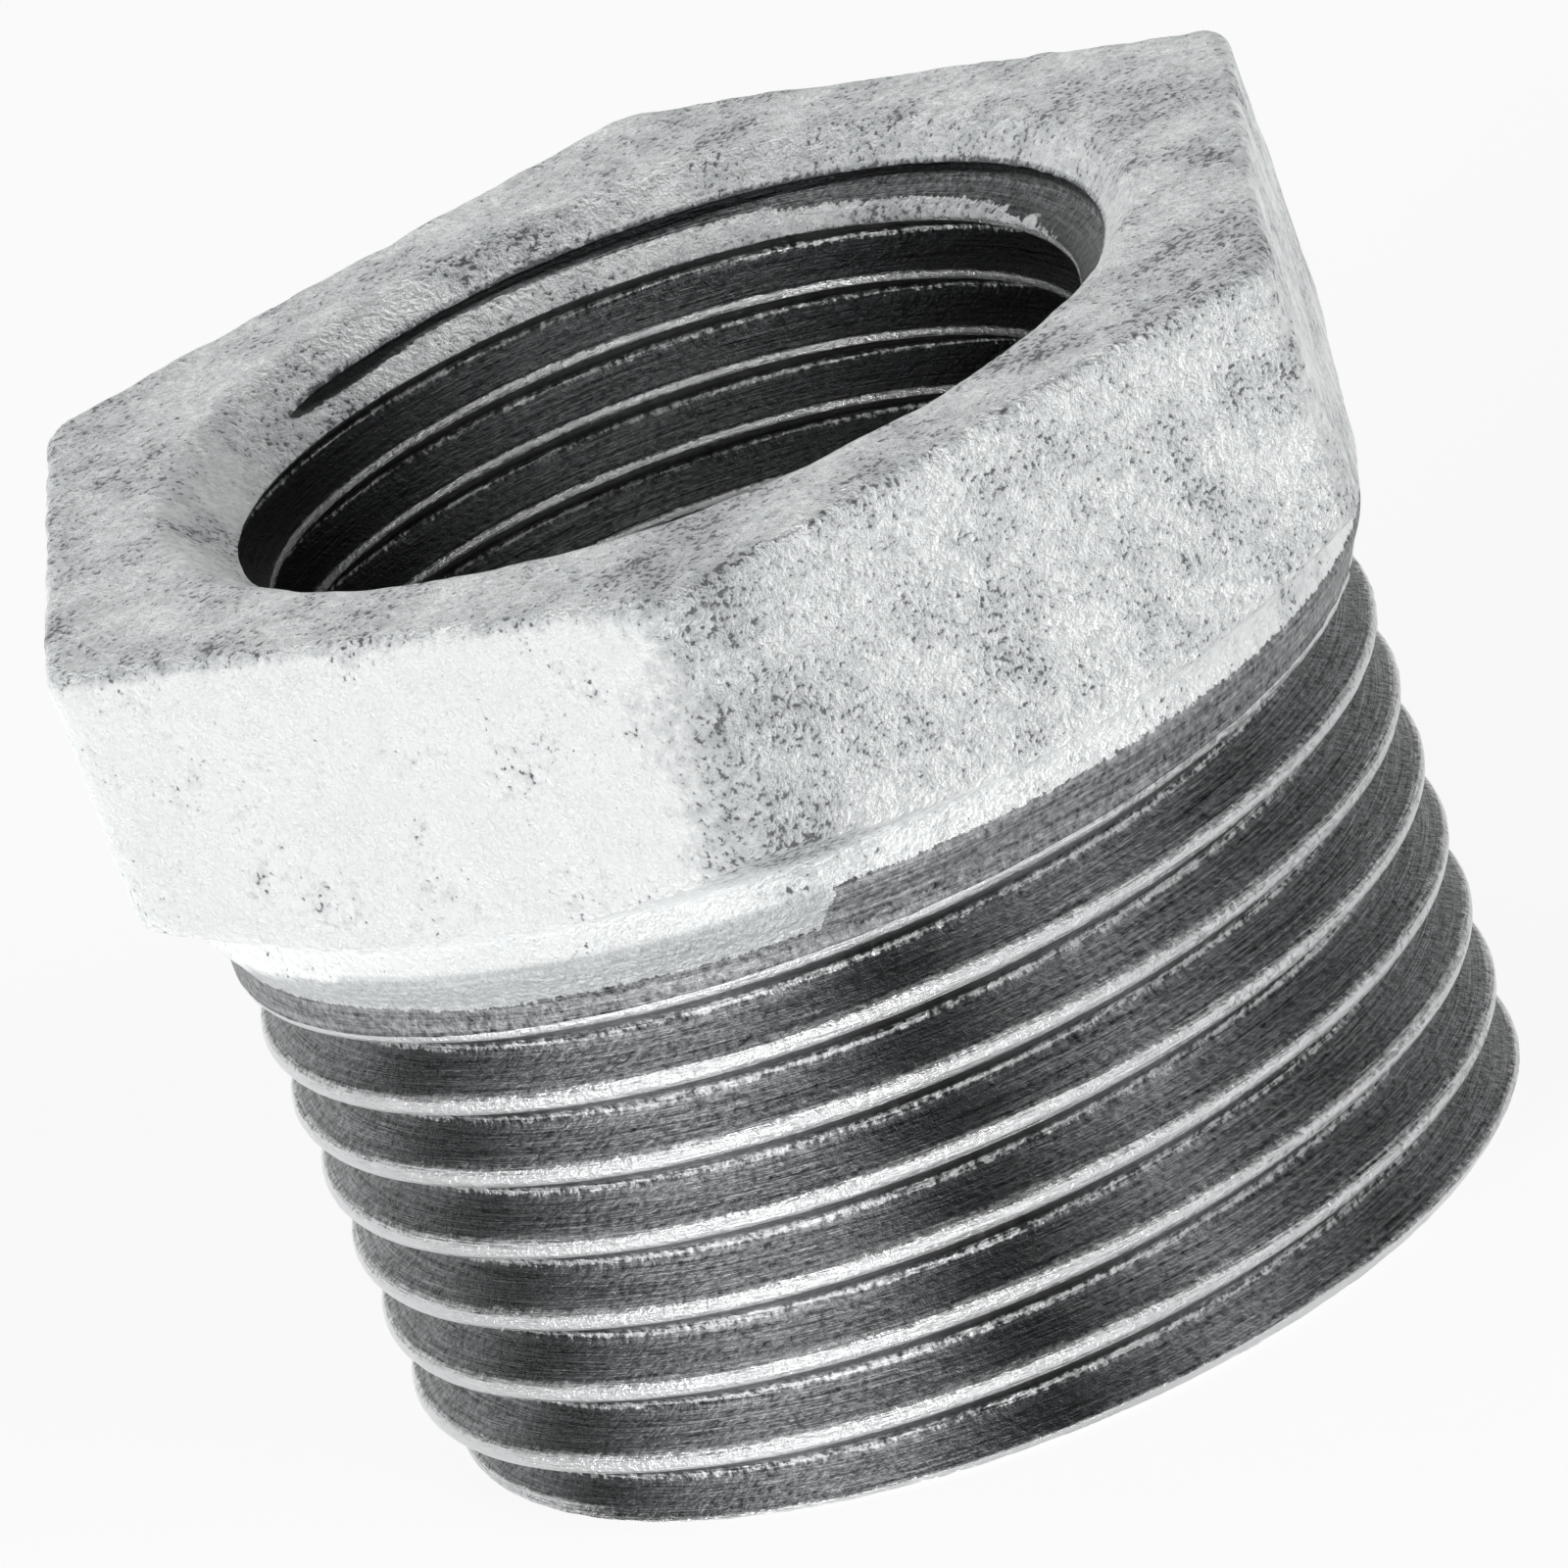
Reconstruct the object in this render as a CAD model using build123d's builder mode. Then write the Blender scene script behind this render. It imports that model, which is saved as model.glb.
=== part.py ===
from build123d import *
import math
import os

# Hexagon reducing bush in malleable cast iron: an R 1 taper pipe thread outside, an Rp 3/4
# parallel pipe thread inside, and a hexagon head to turn it by.
# Millimetres. The origin is the centre of the thread's end face and +Z runs up to the head.

# ---- driving dimensions ----

# head
overall_height = 28.4
head_height = 9.5  # top face to the foot of the underside, at the collar
across_flats = 35.4
hex_corner_radius = 1.3  # the cast corners are soft
top_edge_chamfer = 0.6
underside_angle = 30  # the underside is a cone, which rises this much from the collar to the corners

# plain cast collar between the head and the thread
collar_diameter = 34.8
collar_length = 1.3

# outside thread, R 1: 11 threads to the inch on a 1:16 taper
threads_per_inch = 11
gauge_diameter = 33.249  # major diameter at the gauge plane
gauge_length = 10.4  # from the end face to the gauge plane
taper_on_diameter = 1 / 16
thread_length = 16.6  # end face to the foot of the collar
groove_phase = 1.89  # height of the first whole groove's root, on the +X side
run_out_turns = 0.5  # over which the groove rises out of the metal at the collar
thread_end_chamfer = 0.45

# bore, tapped Rp 3/4: its diameter is the crest of that thread
bore_diameter = 24.117
mouth_diameter = 28.4  # countersink in the top of the head
mouth_angle = 90

# ---- worked out from them ----

inch = 25.4
pitch = inch / threads_per_inch
thread_depth = 0.640327 * pitch  # crest to root of the Whitworth profile
flank_slope = math.tan(math.radians(55 / 2))
radial_taper = taper_on_diameter / 2
end_radius = gauge_diameter / 2 - gauge_length * radial_taper  # thread crest at the end face
head_underside = overall_height - head_height
underside_rise = (across_flats - collar_diameter / 2) * math.tan(math.radians(underside_angle))


def crest_radius(z):
    """Radius of the outside thread's crest at height z."""
    return end_radius + z * radial_taper


# ---- cutter for the outside thread: a V groove wound on the taper ----

cutter_stand_out = 0.25  # how far the cutter's mouth stands out of the metal
cutter_depth = thread_depth + cutter_stand_out
half_mouth = cutter_depth * flank_slope

groove_start = groove_phase - 2 * pitch  # below the end face, so the thread runs out through it
full_turns = math.floor((thread_length - groove_start) / pitch)
run_out_start = groove_start + full_turns * pitch
run_out_height = run_out_turns * pitch
run_out_slope = (cutter_depth + run_out_height * radial_taper) / run_out_height


def groove_corners(z):
    """Corners, in the XZ plane, of the groove's section with its root at height z."""
    root = crest_radius(z) - thread_depth
    mouth = root + cutter_depth
    return (root, z), (mouth, z - half_mouth), (mouth, z + half_mouth)


with BuildPart() as full_groove:
    with BuildLine() as full_path:
        Helix(
            pitch,
            full_turns * pitch,
            crest_radius(groove_start) - thread_depth,
            center=(0, 0, groove_start),
            cone_angle=math.degrees(math.atan(radial_taper)),
        )
    with BuildSketch(Plane.XZ) as full_section:
        with BuildLine():
            Polyline(*groove_corners(groove_start), close=True)
        make_face()
    sweep(full_section.sketch, path=full_path.line, is_frenet=True)
    split(bisect_by=Plane.YZ, keep=Keep.BOTH)  # half turns, which cut one after another

with BuildPart() as run_out_groove:
    with BuildLine() as run_out_path:
        Helix(
            pitch,
            run_out_height,
            crest_radius(run_out_start) - thread_depth,
            center=(0, 0, run_out_start),
            cone_angle=math.degrees(math.atan(run_out_slope)),
        )
    with BuildSketch(Plane.XZ) as run_out_section:
        with BuildLine():
            Polyline(*groove_corners(run_out_start), close=True)
        make_face()
    sweep(run_out_section.sketch, path=run_out_path.line, is_frenet=True)

# ---- the bush ----

with BuildPart() as hex_bushing:
    # hexagon head, with a corner on +X
    with BuildSketch(Plane.XY.offset(head_underside)) as hexagon:
        RegularPolygon(across_flats / 2, 6, major_radius=False)
        fillet(hexagon.vertices(), hex_corner_radius)
    extrude(amount=head_height)
    chamfer(hex_bushing.faces().sort_by(Axis.Z)[-1].edges(), top_edge_chamfer)

    # the underside's cone, turned off below the hexagon
    with BuildSketch(Plane.XZ):
        with BuildLine():
            Polyline(
                (collar_diameter / 2, head_underside),
                (across_flats, head_underside + underside_rise),
                (across_flats, head_underside - head_height),
                (collar_diameter / 2, head_underside - head_height),
                close=True,
            )
        make_face()
    revolve(axis=Axis.Z, mode=Mode.SUBTRACT)

    # collar and shank, turned round the axis
    with BuildSketch(Plane.XZ):
        with BuildLine():
            Polyline(
                (0, 0),
                (end_radius - thread_end_chamfer, 0),
                (crest_radius(thread_end_chamfer), thread_end_chamfer),
                (crest_radius(thread_length), thread_length),
                (collar_diameter / 2, head_underside - collar_length),
                (collar_diameter / 2, overall_height - head_height / 2),
                (0, overall_height - head_height / 2),
                close=True,
            )
        make_face()
    revolve(axis=Axis.Z)

    # outside thread
    for half_turn in full_groove.solids() + run_out_groove.solids():
        add(half_turn, mode=Mode.SUBTRACT)

    # bore, and the countersink in its mouth
    with Locations(Plane.XY.offset(overall_height)):
        CounterSinkHole(bore_diameter / 2, mouth_diameter / 2, counter_sink_angle=mouth_angle)

hex_bushing.part.label = "hex_bushing"
os.makedirs("parts", exist_ok=True)
export_step(hex_bushing.part, "parts/hex_bushing.step")
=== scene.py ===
import math

import bmesh
import bpy
from bpy.props import FloatProperty, FloatVectorProperty, IntProperty, PointerProperty
from mathutils import Matrix, Vector, noise


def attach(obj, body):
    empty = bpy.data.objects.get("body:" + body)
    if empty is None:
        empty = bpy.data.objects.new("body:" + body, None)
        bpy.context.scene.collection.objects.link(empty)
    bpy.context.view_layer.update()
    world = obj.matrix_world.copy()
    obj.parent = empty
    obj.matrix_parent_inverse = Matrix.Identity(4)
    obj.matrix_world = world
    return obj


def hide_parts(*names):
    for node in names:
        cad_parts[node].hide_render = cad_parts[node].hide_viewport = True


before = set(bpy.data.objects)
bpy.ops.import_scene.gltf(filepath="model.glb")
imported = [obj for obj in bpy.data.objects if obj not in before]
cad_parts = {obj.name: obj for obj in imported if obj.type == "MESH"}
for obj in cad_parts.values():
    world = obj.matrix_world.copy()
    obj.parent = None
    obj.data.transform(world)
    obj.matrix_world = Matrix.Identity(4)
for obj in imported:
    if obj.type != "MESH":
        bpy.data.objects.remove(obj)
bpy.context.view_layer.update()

bl_info = {
    "name": "Hexagon Reducing Bush",
    "version": (1, 0, 0),
    "blender": (4, 5, 0),
    "location": "View3D > Sidebar > Bush",
    "description": "Galvanised hexagon bush with cut pipe threads, and the stage it stands on",
    "category": "Add Mesh",
}

MM = 1000.0  # the bush's mesh is worked in millimetres and scaled to metres at the end
FULL_TURN = 2 * math.pi
JOIN_GAP = 0.12  # mm left between two regions, and bridged
SHARP_ANGLE = math.radians(40)  # edges that turn by more than this stay crisp

# float attributes that the finish reads: how bright a crest is painted, burnish with a painted
# highlight over it, where the zinc is thinned, how far above the zinc's edge a point lies, and how
# soiled it is, with painted shade and reflections in it
MARKS = ("crest", "skim", "zinc", "dirt_and_painted_light")

# Whitworth profile, in parts of the pitch: crest to root, and the radius of both arcs
WHITWORTH_DEPTH = 0.640327
WHITWORTH_RADIUS = 0.137329
WHITWORTH_ARC = math.radians(62.5)  # from a crest's middle to its 27.5 degree flank
WOUND_RADIUS = 100  # mm, at which a thread is wound before each point is brought to its place

HEAD_BLANK = 21.0  # mm, radius of the round head before its flats are pressed
LIP_WIDTH = 0.45  # mm from the countersink's edge to where the lip's round begins
LIP_RADIUS = 1.1
ZINC_FOOT = 16.72  # mm, height of the zinc's lower edge
BARE_SHOULDER = 1.23  # mm, how much higher it is where the die took the shoulder's zinc off


# ---- sizes and colours ----


def linear(hex_colour):
    """An sRGB colour such as "C8CACB" as linear red, green and blue."""
    parts = [int(hex_colour[i : i + 2], 16) / 255 for i in (0, 2, 4)]
    return tuple(p / 12.92 if p <= 0.04045 else ((p + 0.055) / 1.055) ** 2.4 for p in parts)


class HeadSizes(bpy.types.PropertyGroup):
    """The hexagon head, its underside and the collar, as cast."""

    height: FloatProperty(
        name="Overall Height",
        description="Thread's end face to the top of the head",
        default=0.0284,
        unit="LENGTH",
    )
    across_flats: FloatProperty(
        name="Across Flats", description="Wrench size of the hexagon", default=0.0354, unit="LENGTH"
    )
    corner_radius: FloatProperty(
        name="Corner Radius",
        description="Softness of the upright corners",
        default=0.0013,
        unit="LENGTH",
    )
    edge_radius: FloatProperty(
        name="Top Edge Radius",
        description="Softness of the top edge",
        default=0.0005,
        unit="LENGTH",
    )
    foot_height: FloatProperty(
        name="Foot of the Underside",
        description="Height where the underside meets the collar",
        default=0.0189,
        unit="LENGTH",
    )
    underside_angle: FloatProperty(
        name="Underside Angle",
        description="Rise of the underside from the collar to the corners",
        default=math.radians(30),
        subtype="ANGLE",
    )
    collar_diameter: FloatProperty(
        name="Collar Diameter",
        description="Plain collar under the head",
        default=0.0348,
        unit="LENGTH",
    )
    collar_foot: FloatProperty(
        name="Collar Foot",
        description="Height where the collar starts to slope in to the thread",
        default=0.0179,
        unit="LENGTH",
    )
    mouth_diameter: FloatProperty(
        name="Mouth Diameter",
        description="Countersink at the top of the bore",
        default=0.0284,
        unit="LENGTH",
    )
    steps: IntProperty(name="Steps Round", description="Facets round the head", default=432)


class OutsideThread(bpy.types.PropertyGroup):
    """The R 1 taper thread below the collar."""

    pitch: FloatProperty(
        name="Pitch", description="11 threads to the inch", default=0.0254 / 11, unit="LENGTH"
    )
    gauge_diameter: FloatProperty(
        name="Gauge Diameter",
        description="Across the crests at the gauge plane",
        default=0.033249,
        unit="LENGTH",
    )
    gauge_length: FloatProperty(
        name="Gauge Length",
        description="End face to the gauge plane",
        default=0.0104,
        unit="LENGTH",
    )
    taper: FloatProperty(
        name="Taper", description="Growth of the diameter along the axis", default=1 / 16
    )
    length: FloatProperty(
        name="Length",
        description="End face to the foot of the collar",
        default=0.0166,
        unit="LENGTH",
    )
    phase: FloatProperty(
        name="Groove Phase",
        description="Height of the first whole groove's root on the +X side",
        default=0.00189,
        unit="LENGTH",
    )
    fade_end: FloatProperty(
        name="Run-out End",
        description="Height where the last groove has risen out of the metal",
        default=0.0169,
        unit="LENGTH",
    )
    fade: FloatProperty(
        name="Run-out",
        description="Rise over which the groove fades",
        default=0.00115,
        unit="LENGTH",
    )
    end_chamfer: FloatProperty(
        name="End Chamfer", description="Chamfer of the end face", default=0.00045, unit="LENGTH"
    )
    steps: IntProperty(name="Steps Round", description="Facets in a turn", default=216)


class InsideThread(bpy.types.PropertyGroup):
    """The Rp 3/4 parallel thread in the bore."""

    pitch: FloatProperty(
        name="Pitch", description="14 threads to the inch", default=0.0254 / 14, unit="LENGTH"
    )
    crest_diameter: FloatProperty(
        name="Crest Diameter",
        description="Across the crests, the bore's clear way",
        default=0.024117,
        unit="LENGTH",
    )
    phase: FloatProperty(
        name="Crest Phase",
        description="Height of a crest on the +X side",
        default=0.00078,
        unit="LENGTH",
    )
    end_chamfer: FloatProperty(
        name="End Chamfer", description="Chamfer at the lower end", default=0.0003, unit="LENGTH"
    )
    steps: IntProperty(name="Steps Round", description="Facets in a turn", default=180)


class FinishColours(bpy.types.PropertyGroup):
    """Colours of the zinc and of the cut iron."""

    zinc: FloatVectorProperty(
        name="Zinc",
        description="Hot-dip zinc, dry",
        subtype="COLOR",
        size=3,
        default=linear("E4E6E6"),
    )
    zinc_shade: FloatVectorProperty(
        name="Zinc Shade",
        description="Duller clouds in the zinc",
        subtype="COLOR",
        size=3,
        default=linear("B3B6B7"),
    )
    zinc_pit: FloatVectorProperty(
        name="Zinc Pit",
        description="Dross and pinholes",
        subtype="COLOR",
        size=3,
        default=linear("6C6E70"),
    )
    # bright iron: burnish on the crests, and a painted highlight over it
    crest: FloatVectorProperty(
        name="Bright Iron",
        description="Iron burnished by the die",
        subtype="COLOR",
        size=3,
        default=linear("CDCECF"),
    )
    # cut iron, kept dark on the flanks, partly a painted shade
    flank: FloatVectorProperty(
        name="Cut Iron",
        description="Iron as cut, in its tears",
        subtype="COLOR",
        size=3,
        default=linear("202224"),
    )
    flank_light: FloatVectorProperty(
        name="Cut Iron, Raised",
        description="Iron as cut, between its tears",
        subtype="COLOR",
        size=3,
        default=linear("ACAEAF"),
    )
    # dark iron that the dirt mark paints in: all round the bore, a painted shadow in the undercut
    # under the burr, and painted reflections and shade in bands round the outside thread
    oil_and_shade: FloatVectorProperty(
        name="Oiled Iron",
        description="Cutting oil and soot in the bore",
        subtype="COLOR",
        size=3,
        default=linear("2A2B2C"),
    )


# ---- small helpers ----


def clamp(value):
    """The value, held between 0 and 1."""
    return max(0.0, min(1.0, value))


def smooth(low, high, value):
    """0 below low, 1 above high, and an even curve between."""
    t = clamp((value - low) / (high - low))
    return t * t * (3 - 2 * t)


def rough(x, y, z, scale, seed=0.0):
    """Repeatable noise between about -1 and 1, with features of about 1/scale mm."""
    return noise.noise(Vector((x * scale + seed, y * scale - seed, z * scale + 2 * seed)))


def hexagon_radius(angle, apothem, corner):
    """Distance from the axis to a hexagon with rounded corners, one of them at angle 0."""
    off_corner = (angle + math.pi / 6) % (math.pi / 3) - math.pi / 6
    centre = (apothem - corner) / math.cos(math.pi / 6)
    tangent = math.atan2(corner * math.sin(math.pi / 6), centre + corner * math.cos(math.pi / 6))
    if abs(off_corner) < tangent:
        across = centre * math.sin(off_corner)
        return centre * math.cos(off_corner) + math.sqrt(corner**2 - across**2)
    return apothem / math.cos(math.pi / 6 - abs(off_corner))


def whitworth_section(pitch, arc_steps, flank_steps):
    """One pitch of the thread's section, crest to crest, as (height, depth below the crest)."""
    radius = WHITWORTH_RADIUS * pitch
    depth = WHITWORTH_DEPTH * pitch
    half = []
    for i in range(arc_steps + 1):
        a = WHITWORTH_ARC * i / arc_steps
        half.append((radius * math.sin(a), radius * (1 - math.cos(a))))
    start = half[-1]
    end = (pitch / 2 - start[0], depth - start[1])
    for i in range(1, flank_steps):
        t = i / flank_steps
        half.append((start[0] + t * (end[0] - start[0]), start[1] + t * (end[1] - start[1])))
    for i in range(arc_steps + 1):
        a = WHITWORTH_ARC * (1 - i / arc_steps)
        half.append((pitch / 2 - radius * math.sin(a), depth - radius * (1 - math.cos(a))))
    return half + [(pitch - h, d) for h, d in reversed(half[:-1])]


def draw_line(bm, points):
    """A chain of vertices and edges in the XZ plane, as a list for the spin."""
    verts = [bm.verts.new((r, 0, z)) for r, z in points]
    edges = [bm.edges.new(pair) for pair in zip(verts, verts[1:])]
    return verts + edges


def lowest_crest(phase, pitch):
    """Height of the crest to start winding at, a pitch or more below the end face."""
    crest = phase - pitch / 2
    while crest > -pitch:
        crest -= pitch
    return crest


def place_on_thread(x, y, z, phase, pitch):
    """A point's azimuth, the height of its root, and how near it is to the crest, 0 to 1."""
    angle = math.atan2(y, x)
    turn = round((z - phase) / pitch - angle / FULL_TURN)
    root = phase + (turn + angle / FULL_TURN) * pitch
    across = (z - root) / (pitch / 2)
    return angle, root, 0.5 - 0.5 * math.cos(math.pi * across)


def set_radius(v, r):
    """Moves a vertex level, to a radius from the axis."""
    scale = r / math.hypot(v.co.x, v.co.y)
    v.co.x *= scale
    v.co.y *= scale


def wind_turns(bm, section, pitch, steps, turns):
    """Spins one turn of a helical band, copies it up the axis and merges the turns."""
    bmesh.ops.spin(
        bm,
        geom=draw_line(bm, section),
        cent=(0, 0, 0),
        axis=(0, 0, 1),
        dvec=(0, 0, pitch / steps),
        angle=FULL_TURN,
        steps=steps,
    )
    one_turn = bm.verts[:] + bm.edges[:] + bm.faces[:]
    for i in range(1, turns):
        copied = bmesh.ops.duplicate(bm, geom=one_turn)["geom"]
        verts = [item for item in copied if isinstance(item, bmesh.types.BMVert)]
        bmesh.ops.translate(bm, vec=(0, 0, i * pitch), verts=verts)
    bmesh.ops.remove_doubles(bm, verts=bm.verts[:], dist=0.01)


def cut_level(bm, height, keep_above):
    """Cuts the mesh off level at a height."""
    bmesh.ops.bisect_plane(
        bm,
        geom=bm.verts[:] + bm.edges[:] + bm.faces[:],
        dist=1e-4,
        plane_co=(0, 0, height),
        plane_no=(0, 0, -1 if keep_above else 1),
        clear_outer=True,
    )


def open_loop(bm, height, low, high):
    """The open edges at a height, between two radii in mm."""

    def here(v):
        return abs(v.co.z - height) < 0.02 and low < math.hypot(v.co.x, v.co.y) < high

    return [e for e in bm.edges if e.is_boundary and all(here(v) for v in e.verts)]


# ---- the bush's regions, in millimetres, with azimuths in degrees from +X ----


def wind_outside_thread(bm, marks, thread, head):
    """Winds the taper thread as one helical band, and fades its last groove out at the collar."""
    pitch = thread.pitch * MM
    phase = thread.phase * MM
    slope = thread.taper / 2
    end_radius = thread.gauge_diameter * MM / 2 - thread.gauge_length * MM * slope
    top = head.collar_foot * MM
    length = thread.length * MM
    collar = head.collar_diameter * MM / 2
    first_crest = lowest_crest(phase, pitch)
    section = [(WOUND_RADIUS - d, first_crest + h) for h, d in whitworth_section(pitch, 3, 2)]
    wind_turns(bm, section, pitch, thread.steps, math.ceil(top / pitch) + 2)
    crest_highlight_mark, skim_mark, zinc_mark, dirt_and_painted_light_mark = marks
    for v in bm.verts:
        x, y, z = v.co
        below_crest = WOUND_RADIUS - math.hypot(x, y)
        angle, root, crest = place_on_thread(x, y, z, phase, pitch)
        turn = math.degrees(angle) % 360
        fade = smooth(0, 1, (thread.fade_end * MM - root) / (thread.fade * MM))
        turned = end_radius + z * slope
        if z > length:
            rise = smooth(0, 1.0, (z - length) / (top - length))
            turned += (collar - end_radius - length * slope) * rise
        r = turned - below_crest * fade
        # the die tears the first crests under the collar, and leaves the others a little uneven
        cut = min(1.0, fade + 0.25)
        torn = smooth(11.0, 15.5, z) * smooth(0.1, 0.9, math.sin(angle - 3.4) * 0.5 + 0.5)
        r += crest * cut * rough(x / 6, y / 6, z, 2.2, 3.1) * (0.012 + 0.05 * torn)
        r += rough(x / 6, y / 6, z, 5.0, 8.2) * (0.006 + 0.02 * torn) * cut
        # chamfer of the end face, ragged where the thread runs out through it
        ragged = 0.05 * rough(x / 6, y / 6, 0, 6.0, 1.3)
        r = min(r, end_radius - thread.end_chamfer * MM + max(z, 0.0) + ragged)
        set_radius(v, r)
        # the crests are painted duller on the side turned from the key softbox, a painted shade,
        # and the chamfer's edge is bright
        far_side_shade = 1 - 0.08 * smooth(250, 285, turn) * (1 - smooth(320, 358, turn))
        end_edge = 1 - smooth(0.15, 0.5, z)
        v[crest_highlight_mark] = max(crest * fade * far_side_shade + (1 - fade) * 0.35, 0.95 * end_edge)
        v[skim_mark] = skimmed(angle, z)
        # the iron is darkened, with painted reflections and shade in bands round the thread, and
        # lighter toward the run-out below the collar
        v[dirt_and_painted_light_mark] = thread_darkness_and_reflections(angle) * (1 - 0.5 * smooth(15.3, 16.3, z))
        v[zinc_mark] = z - zinc_edge(angle)
    cut_level(bm, 0, True)
    cut_level(bm, top - JOIN_GAP, False)


def zinc_edge(angle):
    """Height above which the casting keeps its zinc: low where the die missed the shoulder."""
    x, y = math.cos(angle), math.sin(angle)
    wave = 0.08 * rough(x * 17, y * 17, 0, 0.2, 5.0)
    turn = math.degrees(angle) % 360
    bare = smooth(242.5, 244.0, turn) if turn < 330 else 1 - smooth(335, 355, turn)
    return ZINC_FOOT + BARE_SHOULDER * bare + wave


def skimmed(angle, z):
    """1 on the band of the shoulder where the die only thinned the zinc."""
    x, y = math.cos(angle), math.sin(angle)
    turn = math.degrees(angle) % 360
    line = 17.45 + 0.5 * smooth(172, 195, turn) + 0.06 * rough(x * 17, y * 17, 0, 0.5, 3.0)
    return 1.0 if z < line and not 243.5 < turn < 350 else 0.0


def dross_and_painted_light(angle, z, height):
    """How much dross the zinc shows, with painted light: the flat facing the key softbox is painted
    clean and bright, and most dross lies by the corner next to it.
    """
    turn = math.degrees(angle) % 360
    key_lit_flat = smooth(166, 176, turn) * (1 - smooth(231, 240, turn))
    corner = smooth(232, 240, turn) * (1 - smooth(243, 253, turn))
    top = smooth(height - 0.6, height - 0.1, z)
    low = 1 - smooth(18.5, 19.6, z)
    return clamp(0.55 + 0.28 * corner + 0.14 * top - 0.5 * key_lit_flat * (1 - top) - 0.3 * low)


# lumps and hollows in the zinc: azimuth in degrees, then height, spread and rise in mm
SCARS = (
    (237.5, 27.9, 0.50, 0.30),
    (241.0, 27.0, 0.50, -0.42),
    (242.0, 25.9, 0.45, -0.34),
    (243.5, 24.7, 0.40, -0.20),
    (240.5, 22.6, 0.50, -0.26),
    (246.0, 23.4, 0.50, 0.16),
    (251.0, 26.4, 0.70, -0.10),
    (262.0, 26.8, 0.45, -0.12),
    (266.0, 25.6, 0.50, -0.12),
    (270.0, 24.9, 0.45, -0.10),
    (258.0, 21.4, 0.50, 0.10),
    (264.0, 21.0, 0.45, 0.12),
    (188.0, 27.6, 0.50, -0.10),
    (196.0, 20.8, 0.50, 0.10),
)


def scar(x, y, z):
    """How far the zinc stands out of the casting at a point, from the list of lumps and hollows."""
    out = 0.0
    r = math.hypot(x, y)
    for azimuth, height, spread, rise in SCARS:
        a = math.radians(azimuth)
        gap = (x - r * math.cos(a)) ** 2 + (y - r * math.sin(a)) ** 2 + (z - height) ** 2
        out += rise * math.exp(-gap / spread**2)
    return out


def burr(angle):
    """1 where the zinc overhangs the bore's lip as a burr, on one side of it."""
    turn = (math.degrees(angle) + 60) % 360
    return smooth(15, 45, turn) * (1 - smooth(160, 182, turn))


# painted reflections and shade round the thread: azimuth of a band's middle and its half width in
# degrees, and how dark it is; below 0 is lighter
PAINTED_REFLECTION_BANDS = (
    (190, 9, 0.25),
    (220, 11, -0.15),
    (248, 11, 0.28),
    (267, 6, -0.15),
    (290, 14, 0.1),
    (40, 25, 0.2),
    (120, 20, -0.15),
)


def thread_darkness_and_reflections(angle):
    """How dark the outside thread's iron is painted: an even darkening and noise, with painted
    reflections and painted shade in bands round it.
    """
    turn = math.degrees(angle) % 360
    reflection_bands = sum(
        dark * math.exp(-(((turn - middle) / width) ** 2)) for middle, width, dark in PAINTED_REFLECTION_BANDS
    )
    return 0.56 + reflection_bands + 0.14 * rough(math.cos(angle), math.sin(angle), 0, 3.0, 2.2)


def wind_inside_thread(bm, marks, thread, head):
    """Winds the parallel thread up the bore, and lets the countersink cut its top turns."""
    pitch = thread.pitch * MM
    crest_radius = thread.crest_diameter * MM / 2
    mouth = head.mouth_diameter * MM / 2
    height = head.height * MM
    top = height - (mouth - crest_radius - WHITWORTH_DEPTH * pitch)
    phase = thread.phase * MM + pitch / 2
    first_crest = lowest_crest(phase, pitch)
    # in reverse, so that its faces look in at the axis
    profile = reversed(whitworth_section(pitch, 2, 2))
    section = [(WOUND_RADIUS + d, first_crest + h) for h, d in profile]
    wind_turns(bm, section, pitch, thread.steps, math.ceil(top / pitch) + 3)
    crest_highlight_mark, skim_mark, zinc_mark, dirt_and_painted_light_mark = marks
    for v in bm.verts:
        x, y, z = v.co
        below_crest = math.hypot(x, y) - WOUND_RADIUS
        angle, _, crest = place_on_thread(x, y, z, phase, pitch)
        r = crest_radius + below_crest
        r += crest * rough(x / 8, y / 8, z, 2.5, 6.1) * 0.015
        # the countersink above, and the chamfer at the lower end
        cone = mouth - (height - z) + 0.05 * rough(x / 8, y / 8, z, 1.5, 4.4)
        bare = r - cone
        r = max(r, cone)
        r = max(r, crest_radius + thread.end_chamfer * MM - max(z, 0.0))
        # the shadowed undercut below the burr
        under = burr(angle) * smooth(top - 0.38, top - 0.2, z)
        r += under * (0.2 + 0.12 * rough(x / 8, y / 8, 0, 5.0, 2.0))
        set_radius(v, r)
        lip = smooth(top - 1.4, top - 0.5, z)
        # only the tip of a crest is painted bright in here, a painted highlight
        sharpened = min(crest, 0.3) + 0.7 * (max(crest - 0.3, 0.0) / 0.7) ** 3
        # the undercut is painted dark as well, a painted shadow: its crests dulled, its iron bared
        # and its dirt mark raised
        v[crest_highlight_mark] = max(sharpened, 0.8 * lip) - 0.6 * under
        v[skim_mark] = 0.0
        # the bore's iron is darkened all round, less round azimuth 72 and near the lip
        wiped = 0.25 * math.exp(-(((math.degrees(angle) - 72) / 26) ** 2))
        v[dirt_and_painted_light_mark] = 0.9 - wiped - 0.4 * lip + under
        zinc = -bare if bare > 0 and z <= top - 0.05 else 0.3
        v[zinc_mark] = zinc - 1.2 * under
    cut_level(bm, JOIN_GAP, True)
    cut_level(bm, top - JOIN_GAP, False)


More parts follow.
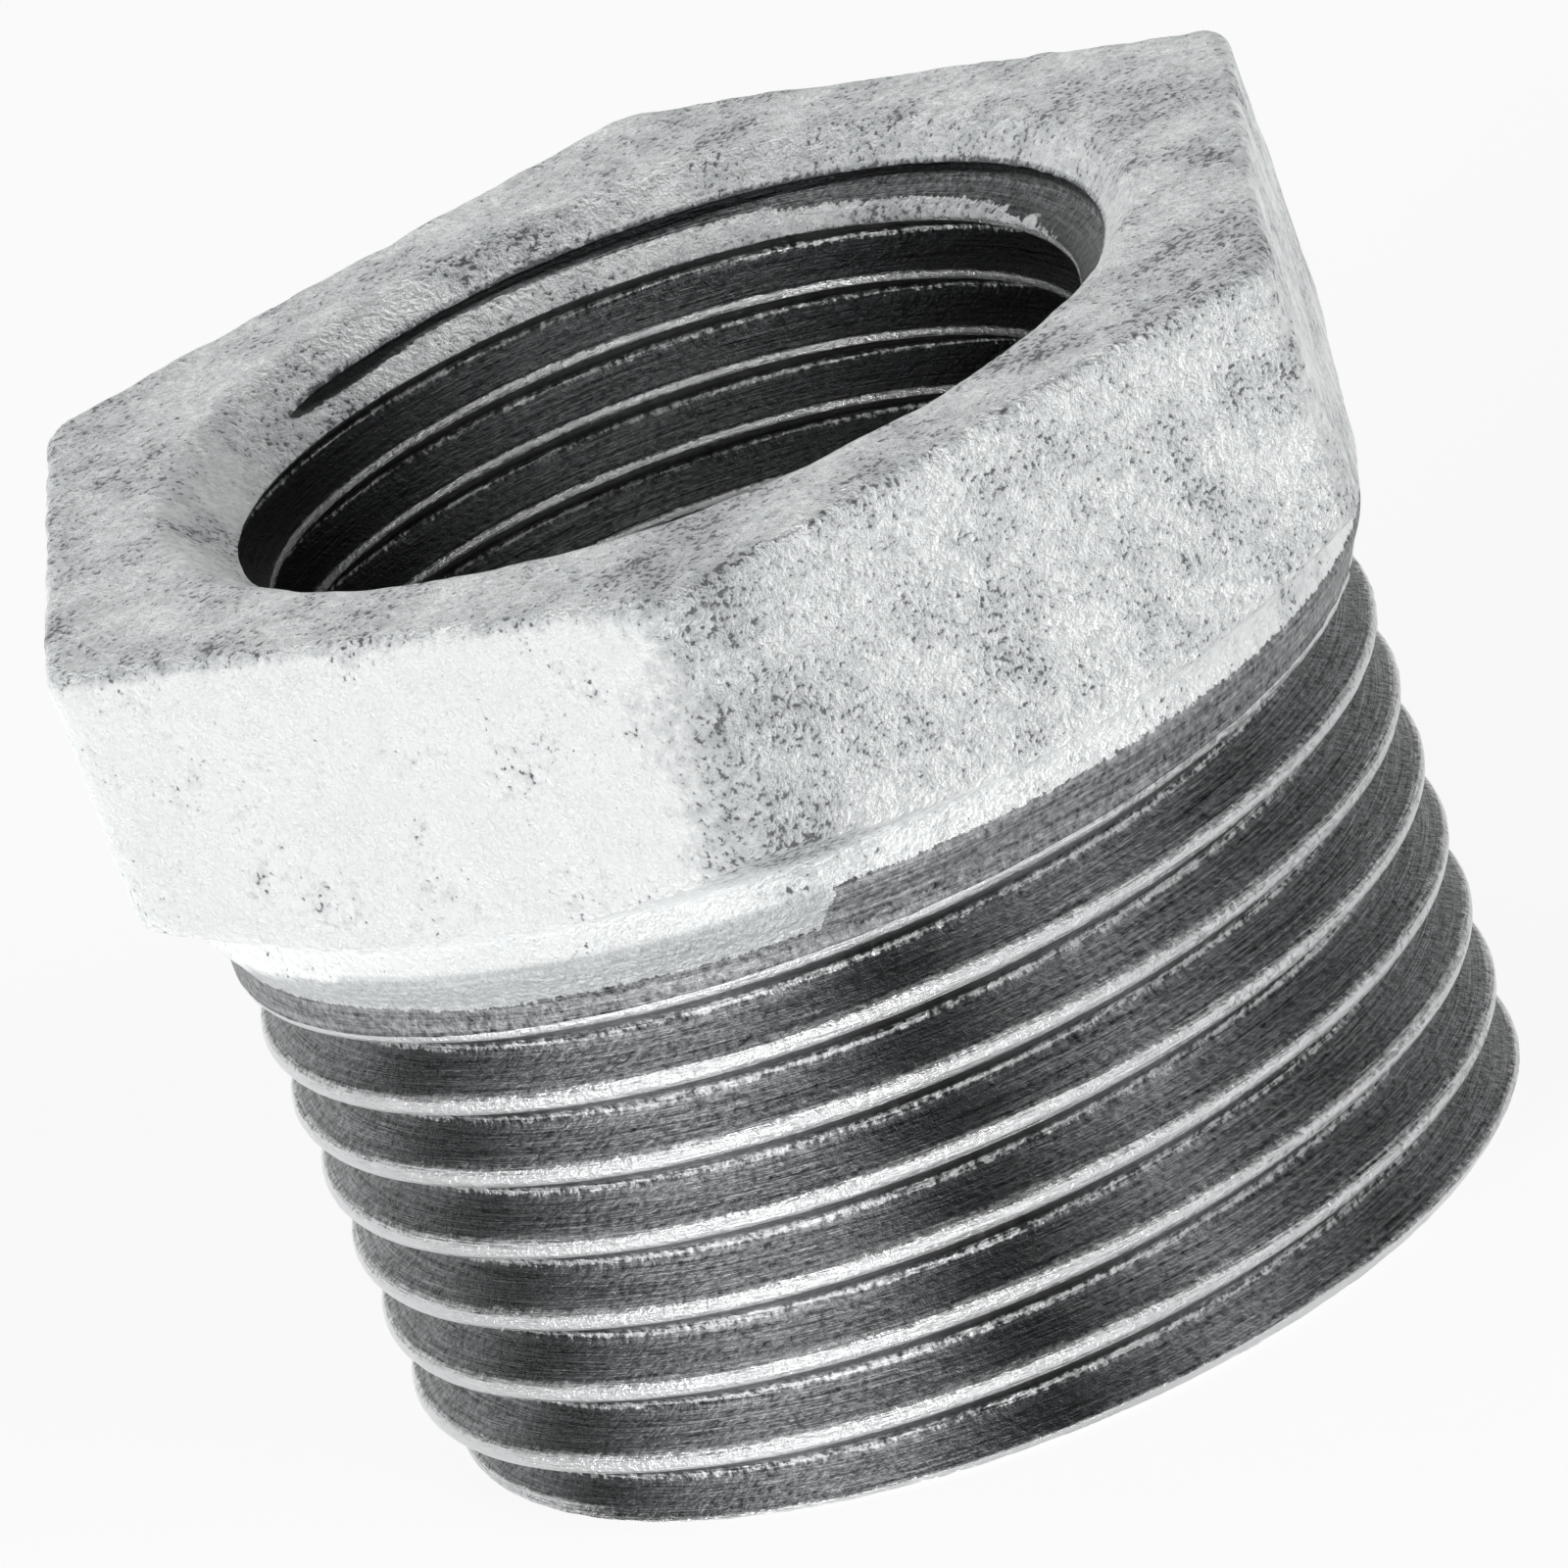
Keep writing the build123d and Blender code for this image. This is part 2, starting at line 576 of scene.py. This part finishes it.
def spin_head(bm, marks, head, inside):
    """Spins the head round, presses its six flats, and roughens it as cast and dipped."""
    height = head.height * MM
    foot = head.foot_height * MM
    apothem = head.across_flats * MM / 2
    corner = head.corner_radius * MM
    edge = head.edge_radius * MM
    collar = head.collar_diameter * MM / 2
    low = head.collar_foot * MM
    mouth = head.mouth_diameter * MM / 2
    slope = math.tan(head.underside_angle)
    bore_top = inside.crest_diameter * MM / 2 + WHITWORTH_DEPTH * inside.pitch * MM
    lip = mouth + LIP_WIDTH
    points = [(collar, low)]

    def line_to(r, z, steps):
        """Goes straight on to a radius and height, in equal steps."""
        r0, z0 = points[-1]
        for i in range(1, steps + 1):
            t = i / steps
            points.append((r0 + t * (r - r0), z0 + t * (z - z0)))

    line_to(collar, foot, 4)
    line_to(HEAD_BLANK, foot + (HEAD_BLANK - collar) * slope, 14)
    line_to(HEAD_BLANK, height - edge, 30)
    for i in range(1, 5):
        a = math.pi / 2 * i / 4
        points.append(
            (HEAD_BLANK - edge + edge * math.cos(a), height - edge + edge * math.sin(a))
        )
    line_to(lip, height, 16)
    for i in range(1, 5):
        a = math.pi / 4 * i / 4
        points.append((lip - LIP_RADIUS * math.sin(a), height - LIP_RADIUS * (1 - math.cos(a))))
    line_to(bore_top, height - (mouth - bore_top), 5)
    bmesh.ops.spin(
        bm,
        geom=draw_line(bm, points),
        cent=(0, 0, 0),
        axis=(0, 0, 1),
        angle=FULL_TURN,
        steps=head.steps,
        use_merge=True,
    )
    bmesh.ops.remove_doubles(bm, verts=bm.verts[:], dist=0.01)
    crest_highlight_mark, skim_mark, zinc_mark, dirt_and_painted_light_mark = marks
    for v in bm.verts:
        x, y, z = v.co
        r = math.hypot(x, y)
        angle = math.atan2(y, x)
        flat = hexagon_radius(angle, apothem, corner)
        if z < height - edge - 0.01:
            # the underside's rings close up to the hexagon, and the flats reach down to them
            if r > collar + 0.01:
                under = foot + (r - collar) * slope
                if z < under + 0.02:
                    t = (r - collar) / (HEAD_BLANK - collar)
                    r = collar + t * (flat - collar)
                    z = foot + (r - collar) * slope
                else:
                    start = foot + (HEAD_BLANK - collar) * slope
                    t = (z - start) / (height - edge - start)
                    base = foot + (flat - collar) * slope
                    r = flat
                    z = base + t * (height - edge - base)
        elif r > lip:
            r = lip + (r - lip) * (flat - lip) / (HEAD_BLANK - lip)
        v.co.x = r * math.cos(angle)
        v.co.y = r * math.sin(angle)
        v.co.z = z
        v[crest_highlight_mark] = 0.35
        v[skim_mark] = skimmed(angle, z)
        v[zinc_mark] = z - zinc_edge(angle) if z < foot else 1.0
        # a painted shadow along the burr's line: the dirt mark is raised there, which darkens and
        # pits the zinc
        burr_shadow_line = burr(angle) * (r < bore_top + 0.12 and z > foot)
        v[dirt_and_painted_light_mark] = dross_and_painted_light(angle, z, height) + 1.6 * burr_shadow_line
    soft = [
        v
        for v in bm.verts
        if foot - 0.3 < v.co.z < height - edge - 0.3 and math.hypot(v.co.x, v.co.y) > collar - 1
    ]
    for _ in range(4):
        bmesh.ops.smooth_vert(
            bm, verts=soft, factor=0.5, use_axis_x=True, use_axis_y=True, use_axis_z=True
        )
    bmesh.ops.recalc_face_normals(bm, faces=bm.faces[:])
    bm.normal_update()
    # lumps, grain and scars die out toward the two open edges, which have to meet the threads
    moves = {}
    for v in bm.verts:
        x, y, z = v.co
        r = math.hypot(x, y)
        keep = smooth(0.0, 0.35, z - low)
        if z > height - 3 and r < mouth:
            keep = smooth(0.0, 0.8, r - bore_top)
        lumps = 0.06 * rough(x, y, z, 0.28, 2.0) + 0.04 * rough(x, y, z, 0.75, 9.0)
        edge_wear = smooth(height - 1.2, height - 0.2, z) * smooth(mouth + 1.0, mouth + 2.0, r)
        grain = (0.025 + 0.03 * edge_wear) * rough(x, y, z, 1.5, 4.0)
        grain += 0.012 * rough(x, y, z, 3.2, 7.0)
        scarred = scar(x, y, z) if r > mouth + 1.5 else 0.0
        moves[v] = v.normal * (lumps + grain + scarred) * keep
    for v, move in moves.items():
        v.co += move


def build_bush_mesh(scene):
    """One closed mesh of the whole bush: head, both threads and the end face."""
    head = scene.bush_head
    outside = scene.bush_outside
    inside = scene.bush_inside
    whole = bmesh.new()
    for name in MARKS:
        whole.verts.layers.float.new(name)
    for make in (
        lambda bm, m: wind_outside_thread(bm, m, outside, head),
        lambda bm, m: wind_inside_thread(bm, m, inside, head),
        lambda bm, m: spin_head(bm, m, head, inside),
    ):
        region = bmesh.new()
        region_marks = [region.verts.layers.float.new(name) for name in MARKS]
        make(region, region_marks)
        carrier = bpy.data.meshes.new("region")
        region.to_mesh(carrier)
        region.free()
        whole.from_mesh(carrier)
        bpy.data.meshes.remove(carrier)
    root_radius = inside.crest_diameter * MM / 2 + WHITWORTH_DEPTH * inside.pitch * MM
    top = head.height * MM - (head.mouth_diameter * MM / 2 - root_radius)
    collar_foot = head.collar_foot * MM
    # outside thread to collar, bore to mouth, and the end face between the two threads
    joins = (
        (open_loop(whole, collar_foot - JOIN_GAP, 15, 20), open_loop(whole, collar_foot, 15, 20)),
        (open_loop(whole, top - JOIN_GAP, 11, 15), open_loop(whole, top, 11, 15)),
        (open_loop(whole, 0, 14, 18), open_loop(whole, JOIN_GAP, 11, 14)),
    )
    for first, second in joins:
        if not first or not second:
            raise RuntimeError("a region of the bush has no open edge to join")
        bmesh.ops.bridge_loops(whole, edges=first + second)
    bore_end = joins[2][1]  # it was cut a gap high, so that the bridge to it wasn't flat
    for v in {v for e in bore_end for v in e.verts}:
        v.co.z = 0.0
    bmesh.ops.remove_doubles(whole, verts=whole.verts[:], dist=0.004)
    bmesh.ops.dissolve_degenerate(whole, edges=whole.edges[:], dist=0.002)
    if any(not e.is_manifold for e in whole.edges):
        raise RuntimeError("the bush's mesh isn't closed")
    bmesh.ops.recalc_face_normals(whole, faces=whole.faces[:])
    bmesh.ops.scale(whole, vec=(1 / MM, 1 / MM, 1 / MM), verts=whole.verts[:])
    for face in whole.faces:
        face.smooth = True
    mesh = bpy.data.meshes.new("hexagon_bush")
    whole.to_mesh(mesh)
    whole.free()
    mesh.set_sharp_from_angle(angle=SHARP_ANGLE)
    return mesh


# ---- finishes ----


def add_node(tree, kind, settings=None, links=None):
    """Adds a node, sets its properties and plain inputs, and links sockets into it."""
    node = tree.nodes.new(kind)
    for name, value in (settings or {}).items():
        if isinstance(name, int) or name in node.inputs:
            node.inputs[name].default_value = value
        else:
            setattr(node, name, value)
    for name, source in (links or {}).items():
        tree.links.new(source, node.inputs[name])
    return node


def galvanised_iron(colours):
    """Hot-dip zinc on malleable iron, cut through to the bare iron on the threads.

    The zinc looks matt, cloudy and finely pitted. The cut iron is streaked along the thread,
    painted dark on its flanks, partly a painted shade, and bright on its crests, burnish with a
    painted highlight over it."""
    material = bpy.data.materials.new("hot_dip_zinc_on_malleable_iron")
    material.use_nodes = True
    tree = material.node_tree
    tree.nodes.clear()
    out = add_node(tree, "ShaderNodeOutputMaterial")
    shader = add_node(tree, "ShaderNodeBsdfPrincipled", {"Metallic": 1.0})
    tree.links.new(shader.outputs[0], out.inputs[0])
    place = add_node(tree, "ShaderNodeTexCoord").outputs["Object"]
    crest, skim, zinc, dirt_and_painted_light = (
        add_node(tree, "ShaderNodeAttribute", {"attribute_name": name}).outputs["Fac"]
        for name in MARKS
    )

    # clouds in the zinc 2.5 mm across, mottling of 0.4 mm and pinholes of 0.2 mm
    clouds = add_node(
        tree,
        "ShaderNodeTexNoise",
        {"Scale": 400.0, "Detail": 4.0, "Roughness": 0.6},
        {"Vector": place},
    ).outputs["Fac"]
    mottle = add_node(
        tree,
        "ShaderNodeTexNoise",
        {"Scale": 2600.0, "Detail": 6.0, "Roughness": 0.72},
        {"Vector": place},
    ).outputs["Fac"]
    pinholes = add_node(
        tree,
        "ShaderNodeTexNoise",
        {"Scale": 5200.0, "Detail": 2.0, "Roughness": 0.6},
        {"Vector": place},
    ).outputs["Fac"]
    # marks and noises are weighed together: a value times a factor, plus the rest
    weigh = {"operation": "MULTIPLY_ADD"}
    # the dirt mark adds to the zinc's clouds and pits: the flat facing the key softbox is painted
    # brighter, and a line along the burr darker as a painted shadow
    cloudy = add_node(tree, "ShaderNodeMath", {**weigh, 1: 0.8}, {0: clouds, 2: mottle}).outputs[0]
    cloudy = add_node(tree, "ShaderNodeMath", {**weigh, 1: 0.45}, {0: dirt_and_painted_light, 2: cloudy}).outputs[0]
    dull = add_node(
        tree, "ShaderNodeMapRange", {"From Min": 0.98, "From Max": 1.36}, {"Value": cloudy}
    ).outputs[0]
    pitted = add_node(
        tree, "ShaderNodeMath", {**weigh, 1: 0.6}, {0: clouds, 2: pinholes}
    ).outputs[0]
    pitted = add_node(tree, "ShaderNodeMath", {**weigh, 1: 0.16}, {0: dirt_and_painted_light, 2: pitted}).outputs[0]
    pits = add_node(
        tree, "ShaderNodeMapRange", {"From Min": 1.00, "From Max": 1.10}, {"Value": pitted}
    ).outputs[0]
    zinc_colour = add_node(
        tree,
        "ShaderNodeMix",
        {"data_type": "RGBA", 6: (*colours.zinc, 1), 7: (*colours.zinc_shade, 1)},
        {0: dull},
    ).outputs[2]
    zinc_colour = add_node(
        tree,
        "ShaderNodeMix",
        {"data_type": "RGBA", 7: (*colours.zinc_pit, 1)},
        {0: pits, 6: zinc_colour},
    ).outputs[2]

    # streaks that the die left round the thread, 0.12 mm apart and 7 mm long
    around = add_node(
        tree, "ShaderNodeVectorMath", {"operation": "MULTIPLY", 1: (1, 1, 0)}, {0: place}
    ).outputs[0]
    radius = add_node(
        tree, "ShaderNodeVectorMath", {"operation": "LENGTH"}, {0: around}
    ).outputs["Value"]
    outward = add_node(
        tree, "ShaderNodeMath", {"operation": "MULTIPLY", 1: 8000.0}, {0: radius}
    ).outputs[0]
    stretch = add_node(
        tree, "ShaderNodeMapping", {"Scale": (150.0, 150.0, 8000.0)}, {"Vector": place}
    ).outputs[0]
    streaks = add_node(
        tree,
        "ShaderNodeTexNoise",
        {"noise_dimensions": "4D", "Scale": 1.0, "Detail": 4.0, "Roughness": 0.75},
        {"Vector": stretch, "W": outward},
    ).outputs["Fac"]
    # pits torn in the iron, 0.2 mm
    tears = add_node(
        tree,
        "ShaderNodeTexNoise",
        {"Scale": 4500.0, "Detail": 3.0, "Roughness": 0.7},
        {"Vector": place},
    ).outputs["Fac"]
    torn = add_node(tree, "ShaderNodeMath", {**weigh, 1: 1.0}, {0: streaks, 2: tears}).outputs[0]
    speckle = add_node(
        tree, "ShaderNodeMapRange", {"From Min": 0.72, "From Max": 1.25}, {"Value": torn}
    ).outputs[0]
    flank_colour = add_node(
        tree,
        "ShaderNodeMix",
        {"data_type": "RGBA", 6: (*colours.flank, 1), 7: (*colours.flank_light, 1)},
        {0: speckle},
    ).outputs[2]
    # crests painted bright, burnish with a painted highlight over it, and a thinner broken line of
    # painted reflection along the root
    crest_shine = add_node(tree, "ShaderNodeMath", {**weigh, 1: 0.25}, {0: tears, 2: crest}).outputs[0]
    crest_shine = add_node(tree, "ShaderNodeMath", {**weigh, 1: 0.3}, {0: streaks, 2: crest_shine}).outputs[0]
    burnish_and_highlight = add_node(
        tree, "ShaderNodeMapRange", {"From Min": 1.05, "From Max": 1.17}, {"Value": crest_shine}
    ).outputs[0]
    root_reflection_line = add_node(tree, "ShaderNodeMath", {**weigh, 1: 0.8}, {0: streaks, 2: tears}).outputs[0]
    root_reflection_line = add_node(tree, "ShaderNodeMath", {**weigh, 1: -6.0}, {0: crest, 2: root_reflection_line}).outputs[0]
    root = add_node(
        tree, "ShaderNodeMapRange", {"From Min": 0.75, "From Max": 0.95}, {"Value": root_reflection_line}
    ).outputs[0]
    crest_and_root_shine = add_node(
        tree, "ShaderNodeMath", {"operation": "MAXIMUM"}, {0: burnish_and_highlight, 1: root}
    ).outputs[0]
    # where the dirt mark is high the iron takes the dark colour: painted shadow in the bore's
    # undercut, and painted reflections and shade round the outside thread
    soil_and_shade = add_node(
        tree, "ShaderNodeMapRange", {"From Min": 0.4, "From Max": 0.9}, {"Value": dirt_and_painted_light}
    ).outputs[0]
    soiled_and_shaded = add_node(
        tree,
        "ShaderNodeMix",
        {"data_type": "RGBA", 7: (*colours.oil_and_shade, 1)},
        {0: soil_and_shade, 6: flank_colour},
    ).outputs[2]
    iron_colour = add_node(
        tree, "ShaderNodeMix", {"data_type": "RGBA", 7: (*colours.crest, 1)}, {0: crest_and_root_shine, 6: soiled_and_shaded}
    ).outputs[2]
    # thinned zinc shows the die's streaks too
    wiped = add_node(tree, "ShaderNodeMath", {**weigh, 1: 0.9}, {0: streaks, 2: tears}).outputs[0]
    thinned = add_node(
        tree, "ShaderNodeMapRange", {"From Min": 0.85, "From Max": 1.5}, {"Value": wiped}
    ).outputs[0]
    skim_colour = add_node(
        tree,
        "ShaderNodeMix",
        {"data_type": "RGBA", 6: (*colours.zinc_shade, 1), 7: (*colours.zinc, 1)},
        {0: thinned},
    ).outputs[2]
    zinc_colour = add_node(
        tree, "ShaderNodeMix", {"data_type": "RGBA"}, {0: skim, 6: zinc_colour, 7: skim_colour}
    ).outputs[2]

    # the zinc's edge is torn in bites of 0.2 mm
    bitten = add_node(tree, "ShaderNodeMath", {**weigh, 1: 0.5}, {0: tears, 2: zinc}).outputs[0]
    cover = add_node(
        tree, "ShaderNodeMapRange", {"From Min": 0.23, "From Max": 0.27}, {"Value": bitten}
    ).outputs[0]
    colour = add_node(
        tree, "ShaderNodeMix", {"data_type": "RGBA"}, {0: cover, 6: iron_colour, 7: zinc_colour}
    ).outputs[2]
    tree.links.new(colour, shader.inputs["Base Color"])

    # dull zinc scatters more than the burnished iron, and oil leaves the iron glossier
    iron_rough = add_node(
        tree, "ShaderNodeMapRange", {"To Min": 0.36, "To Max": 0.62}, {"Value": streaks}
    ).outputs[0]
    iron_rough = add_node(
        tree, "ShaderNodeMath", {**weigh, 1: -0.1}, {0: burnish_and_highlight, 2: iron_rough}
    ).outputs[0]
    iron_rough = add_node(
        tree, "ShaderNodeMath", {**weigh, 1: -0.16}, {0: soil_and_shade, 2: iron_rough}
    ).outputs[0]
    zinc_rough = add_node(
        tree, "ShaderNodeMapRange", {"To Min": 0.46, "To Max": 0.66}, {"Value": clouds}
    ).outputs[0]
    roughness = add_node(
        tree, "ShaderNodeMix", {"data_type": "FLOAT"}, {0: cover, 2: iron_rough, 3: zinc_rough}
    ).outputs[0]
    tree.links.new(roughness, shader.inputs["Roughness"])

    # relief: torn and streaked iron, and lumpy, pinholed zinc. A difference of 1 is 0.16 mm
    iron_relief = add_node(
        tree, "ShaderNodeMath", {**weigh, 1: 0.7}, {0: tears, 2: burnish_and_highlight}
    ).outputs[0]
    iron_relief = add_node(
        tree, "ShaderNodeMath", {**weigh, 1: 0.7}, {0: streaks, 2: iron_relief}
    ).outputs[0]
    zinc_relief = add_node(
        tree, "ShaderNodeMath", {**weigh, 1: 1.5}, {0: mottle, 2: pinholes}
    ).outputs[0]
    zinc_relief = add_node(
        tree, "ShaderNodeMath", {**weigh, 1: 1.8}, {0: clouds, 2: zinc_relief}
    ).outputs[0]
    relief = add_node(
        tree, "ShaderNodeMix", {"data_type": "FLOAT"}, {0: cover, 2: iron_relief, 3: zinc_relief}
    ).outputs[0]
    bump = add_node(
        tree, "ShaderNodeBump", {"Strength": 1.0, "Distance": 0.00016}, {"Height": relief}
    ).outputs[0]
    tree.links.new(bump, shader.inputs["Normal"])
    return material


# ---- operators ----


class BUSH_OT_build(bpy.types.Operator):
    """Builds the bush as one mesh, gives it its zinc and iron, and puts it in the frame"""

    bl_idname = "bush.build"
    bl_label = "Build Bush"

    def execute(self, context):
        mesh = build_bush_mesh(context.scene)
        bush = bpy.data.objects.new("hexagon_bush", mesh)
        context.scene.collection.objects.link(bush)
        mesh.materials.append(galvanised_iron(context.scene.bush_finish))
        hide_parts("hex_bushing")
        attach(bush, "root")
        return {"FINISHED"}


class BUSH_OT_stage(bpy.types.Operator):
    """Sets the pale floor, the studio light and the camera"""

    bl_idname = "bush.stage"
    bl_label = "Build Stage"

    def execute(self, context):
        scene = context.scene
        build_floor(scene)
        build_world(scene)
        add_softbox(scene, "key_softbox", azimuth=205, elevation=14, size=0.45, power=9.2)
        add_softbox(scene, "side_softbox", azimuth=285, elevation=30, size=0.5, power=3.5)
        build_camera(scene)
        scene.view_settings.view_transform = "Standard"
        return {"FINISHED"}


def build_floor(scene):
    """A pale round floor, which takes the bush's shadow and looks white to the camera."""
    just_below = Matrix.Translation((0, 0, -0.00003))  # so that it doesn't lie in the end face
    bm = bmesh.new()
    bmesh.ops.create_circle(bm, cap_ends=True, segments=96, radius=3.0, matrix=just_below)
    mesh = bpy.data.meshes.new("floor")
    bm.to_mesh(mesh)
    bm.free()
    floor = bpy.data.objects.new("floor", mesh)
    scene.collection.objects.link(floor)
    material = bpy.data.materials.new("white_paper_sweep")
    material.use_nodes = True
    tree = material.node_tree
    tree.nodes.clear()
    out = add_node(tree, "ShaderNodeOutputMaterial")
    # matt white paper, and a plain white over most of it for the camera and for reflections
    paper = add_node(tree, "ShaderNodeBsdfDiffuse", {"Color": (*linear("EDEDED"), 1)}).outputs[0]
    white = add_node(
        tree, "ShaderNodeEmission", {"Color": (1, 1, 1, 1), "Strength": 1.0}
    ).outputs[0]
    path = add_node(tree, "ShaderNodeLightPath").outputs
    seen = add_node(
        tree,
        "ShaderNodeMath",
        {"operation": "MAXIMUM"},
        {0: path["Is Camera Ray"], 1: path["Is Glossy Ray"]},
    ).outputs[0]
    seen = add_node(
        tree, "ShaderNodeMath", {"operation": "MAXIMUM"}, {0: seen, 1: path["Is Transmission Ray"]}
    ).outputs[0]
    share = add_node(
        tree, "ShaderNodeMath", {"operation": "MULTIPLY", 1: 0.88}, {0: seen}
    ).outputs[0]
    mixed = add_node(tree, "ShaderNodeMixShader", None, {0: share, 1: paper, 2: white}).outputs[0]
    tree.links.new(mixed, out.inputs[0])
    mesh.materials.append(material)


def build_world(scene):
    """A studio that is white round the horizon, and dim overhead but for one side."""
    world = bpy.data.worlds.new("studio")
    world.use_nodes = True
    scene.world = world
    tree = world.node_tree
    tree.nodes.clear()
    out = add_node(tree, "ShaderNodeOutputWorld")
    direction = add_node(tree, "ShaderNodeTexCoord").outputs["Generated"]
    up = add_node(tree, "ShaderNodeSeparateXYZ", None, {0: direction}).outputs["Z"]
    smooth_step = {"interpolation_type": "SMOOTHSTEP"}
    level = add_node(
        tree,
        "ShaderNodeMapRange",
        {**smooth_step, "From Min": 0.22, "From Max": 0.66, "To Min": 1.65, "To Max": 0.34},
        {"Value": up},
    ).outputs[0]
    # the open side of the studio, at azimuth 100
    heading = add_node(
        tree, "ShaderNodeVectorMath", {"operation": "MULTIPLY", 1: (1, 1, 0)}, {0: direction}
    ).outputs[0]
    heading = add_node(
        tree, "ShaderNodeVectorMath", {"operation": "NORMALIZE"}, {0: heading}
    ).outputs[0]
    lit_side = (math.cos(math.radians(100)), math.sin(math.radians(100)), 0.0)
    toward = add_node(
        tree, "ShaderNodeVectorMath", {"operation": "DOT_PRODUCT", 1: lit_side}, {0: heading}
    ).outputs["Value"]
    side = add_node(
        tree,
        "ShaderNodeMapRange",
        {**smooth_step, "From Min": 0.55, "From Max": 0.97, "To Min": 0.3, "To Max": 1.3},
        {"Value": toward},
    ).outputs[0]
    # the horizon stays white all round
    overhead = add_node(
        tree, "ShaderNodeMapRange", {"From Min": 0.1, "From Max": 0.4}, {"Value": up}
    ).outputs[0]
    side = add_node(
        tree, "ShaderNodeMix", {"data_type": "FLOAT", 2: 1.0}, {0: overhead, 3: side}
    ).outputs[0]
    level = add_node(
        tree, "ShaderNodeMath", {"operation": "MULTIPLY"}, {0: level, 1: side}
    ).outputs[0]
    background = add_node(
        tree, "ShaderNodeBackground", {"Color": (1, 1, 1, 1)}, {"Strength": level}
    ).outputs[0]
    tree.links.new(background, out.inputs[0])


def add_softbox(scene, name, azimuth, elevation, size, power):
    """A square lamp 0.9 m from the bush, facing its middle, with its angles in degrees."""
    lamp = bpy.data.lights.new(name, "AREA")
    lamp.shape = "SQUARE"
    lamp.size = size
    lamp.energy = power
    softbox = bpy.data.objects.new(name, lamp)
    a, e = math.radians(azimuth), math.radians(elevation)
    away = Vector((math.cos(a) * math.cos(e), math.sin(a) * math.cos(e), math.sin(e)))
    softbox.location = away * 0.9 + Vector((0, 0, 0.014))
    softbox.rotation_euler = away.to_track_quat("Z", "Y").to_euler()
    scene.collection.objects.link(softbox)


def build_camera(scene):
    """A long lens half a metre away, which looks down at the bush and leans to one side."""
    spin, elevation, roll = (math.radians(a) for a in (-24.806, 20.171, -20.640))
    middle = Vector((0, 0, 0.0135))
    stand = Vector((-0.00099558, 0.00099025, 0.500219))  # from the middle, in the camera's own axes
    camera = bpy.data.objects.new("camera", bpy.data.cameras.new("camera"))
    camera.data.sensor_width = 36
    camera.data.lens = 410.19
    camera.data.clip_start = 0.01
    camera.data.clip_end = 20
    turn = (
        Matrix.Rotation(spin, 3, "Z")
        @ Matrix.Rotation(math.pi / 2 - elevation, 3, "X")
        @ Matrix.Rotation(roll, 3, "Z")
    )
    camera.location = middle + turn @ stand
    camera.rotation_euler = turn.to_euler()
    scene.collection.objects.link(camera)
    scene.camera = camera


class BUSH_PT_panel(bpy.types.Panel):
    """The bush's sizes and finishes"""

    bl_label = "Hexagon Bush"
    bl_idname = "BUSH_PT_panel"
    bl_space_type = "VIEW_3D"
    bl_region_type = "UI"
    bl_category = "Bush"

    def draw(self, context):
        layout = self.layout
        for title, group in (
            ("Head", context.scene.bush_head),
            ("Outside Thread", context.scene.bush_outside),
            ("Inside Thread", context.scene.bush_inside),
            ("Finish", context.scene.bush_finish),
        ):
            box = layout.box()
            box.label(text=title)
            for name in group.bl_rna.properties.keys():
                if name not in ("rna_type", "name"):
                    box.prop(group, name)
        layout.operator(BUSH_OT_build.bl_idname)
        layout.operator(BUSH_OT_stage.bl_idname)


CLASSES = (
    HeadSizes,
    OutsideThread,
    InsideThread,
    FinishColours,
    BUSH_OT_build,
    BUSH_OT_stage,
    BUSH_PT_panel,
)


def register():
    for cls in CLASSES:
        bpy.utils.register_class(cls)
    bpy.types.Scene.bush_head = PointerProperty(type=HeadSizes)
    bpy.types.Scene.bush_outside = PointerProperty(type=OutsideThread)
    bpy.types.Scene.bush_inside = PointerProperty(type=InsideThread)
    bpy.types.Scene.bush_finish = PointerProperty(type=FinishColours)


def unregister():
    del bpy.types.Scene.bush_finish
    del bpy.types.Scene.bush_inside
    del bpy.types.Scene.bush_outside
    del bpy.types.Scene.bush_head
    for cls in reversed(CLASSES):
        bpy.utils.unregister_class(cls)


def main():
    register()
    bpy.ops.bush.build()
    bpy.ops.bush.stage()


if __name__ == "__main__":
    main()
